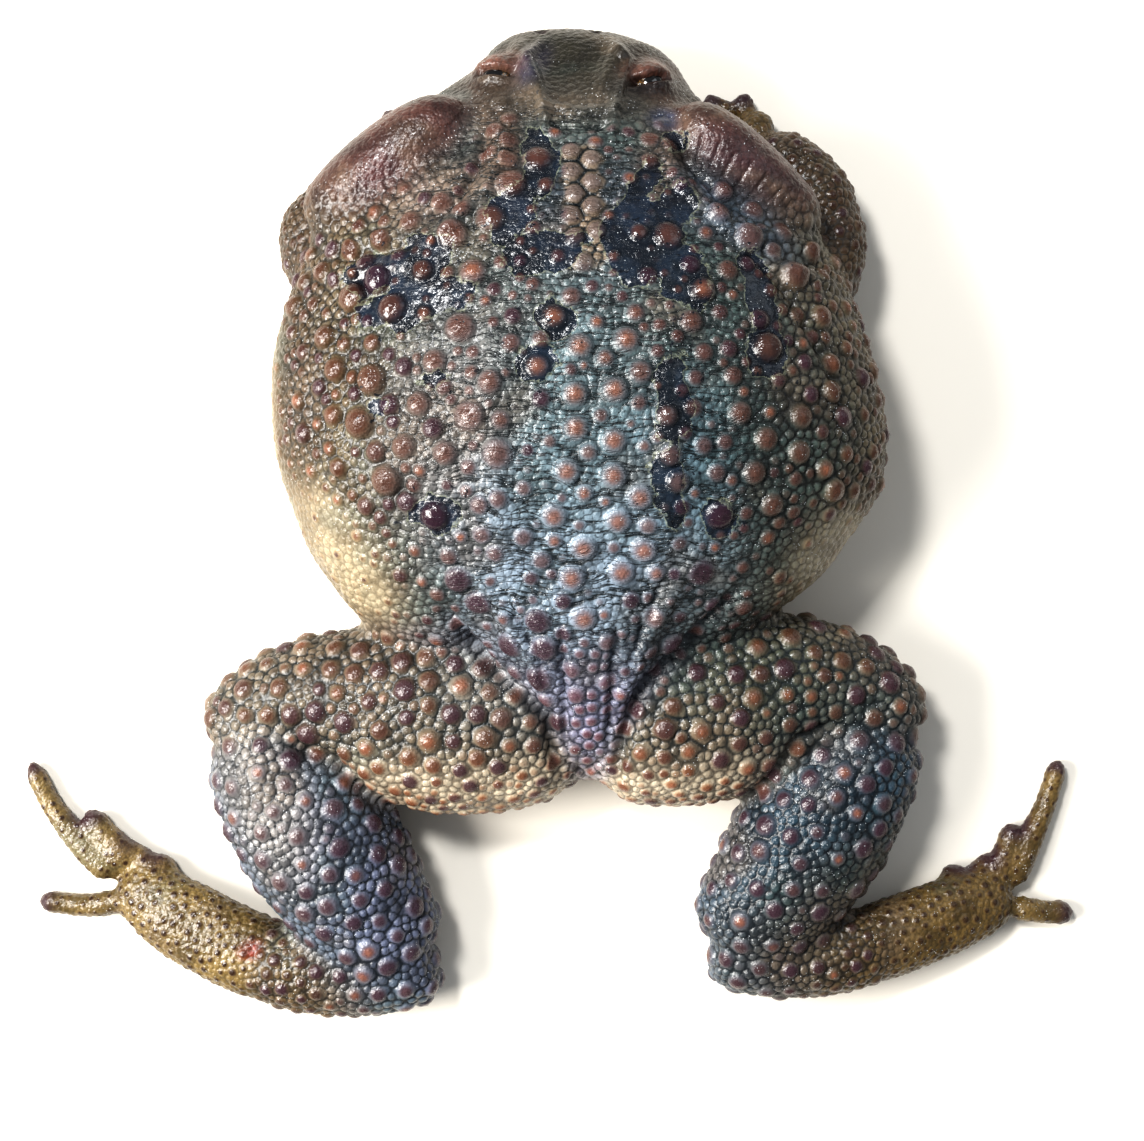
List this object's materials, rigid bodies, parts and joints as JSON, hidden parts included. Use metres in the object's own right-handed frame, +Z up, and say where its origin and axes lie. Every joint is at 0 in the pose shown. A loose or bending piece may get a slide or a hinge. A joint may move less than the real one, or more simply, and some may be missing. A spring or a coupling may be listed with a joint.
{
  "type": "cane toad",
  "caption": "Life-size cane toad lying relaxed on its belly, hind legs folded beside it and hands under the throat, with warty back and long glands behind the eyes",
  "frame": {"origin": "on the ground under the middle of the flat of the belly, at the mount belly_rest", "axes": "+X towards the toad's right side, along the spread of the hind feet, which is the longest extent; +Y towards the snout; +Z up, the shortest extent"},
  "size_m": [0.2203, 0.2031, 0.0534],
  "materials": {
    "skin": "moist warty hide, grey blue on the back, brown on the legs, glossy on the glands and head",
    "eye": "wet and dark between nearly closed lids"
  },
  "bodies": {
    "root": {"ankle_left": "skin", "ankle_right": "skin", "chest": "skin", "eardrum_left": "skin", "eardrum_right": "skin", "eye_left": "eye", "eye_right": "eye", "finger_1_left": "skin", "finger_1_right": "skin", "finger_2_left": "skin", "finger_2_right": "skin", "finger_3_left": "skin", "finger_3_right": "skin", "finger_4_left": "skin", "finger_4_right": "skin", "foot_left": "skin", "foot_right": "skin", "forearm_left": "skin", "forearm_right": "skin", "gland_left": "skin", "gland_right": "skin", "hand_left": "skin", "hand_right": "skin", "head": "skin", "lower_jaw": "skin", "lower_lid_left": "skin", "lower_lid_right": "skin", "rump": "skin", "shank_left": "skin", "shank_right": "skin", "thigh_left": "skin", "thigh_right": "skin", "toe_1_left": "skin", "toe_1_right": "skin", "toe_2_left": "skin", "toe_2_right": "skin", "toe_3_left": "skin", "toe_3_right": "skin", "toe_4_left": "skin", "toe_4_right": "skin", "toe_5_left": "skin", "toe_5_right": "skin", "trunk": "skin", "upper_arm_left": "skin", "upper_arm_right": "skin", "upper_lid_left": "skin", "upper_lid_right": "skin"}
  },
  "joints": []
}
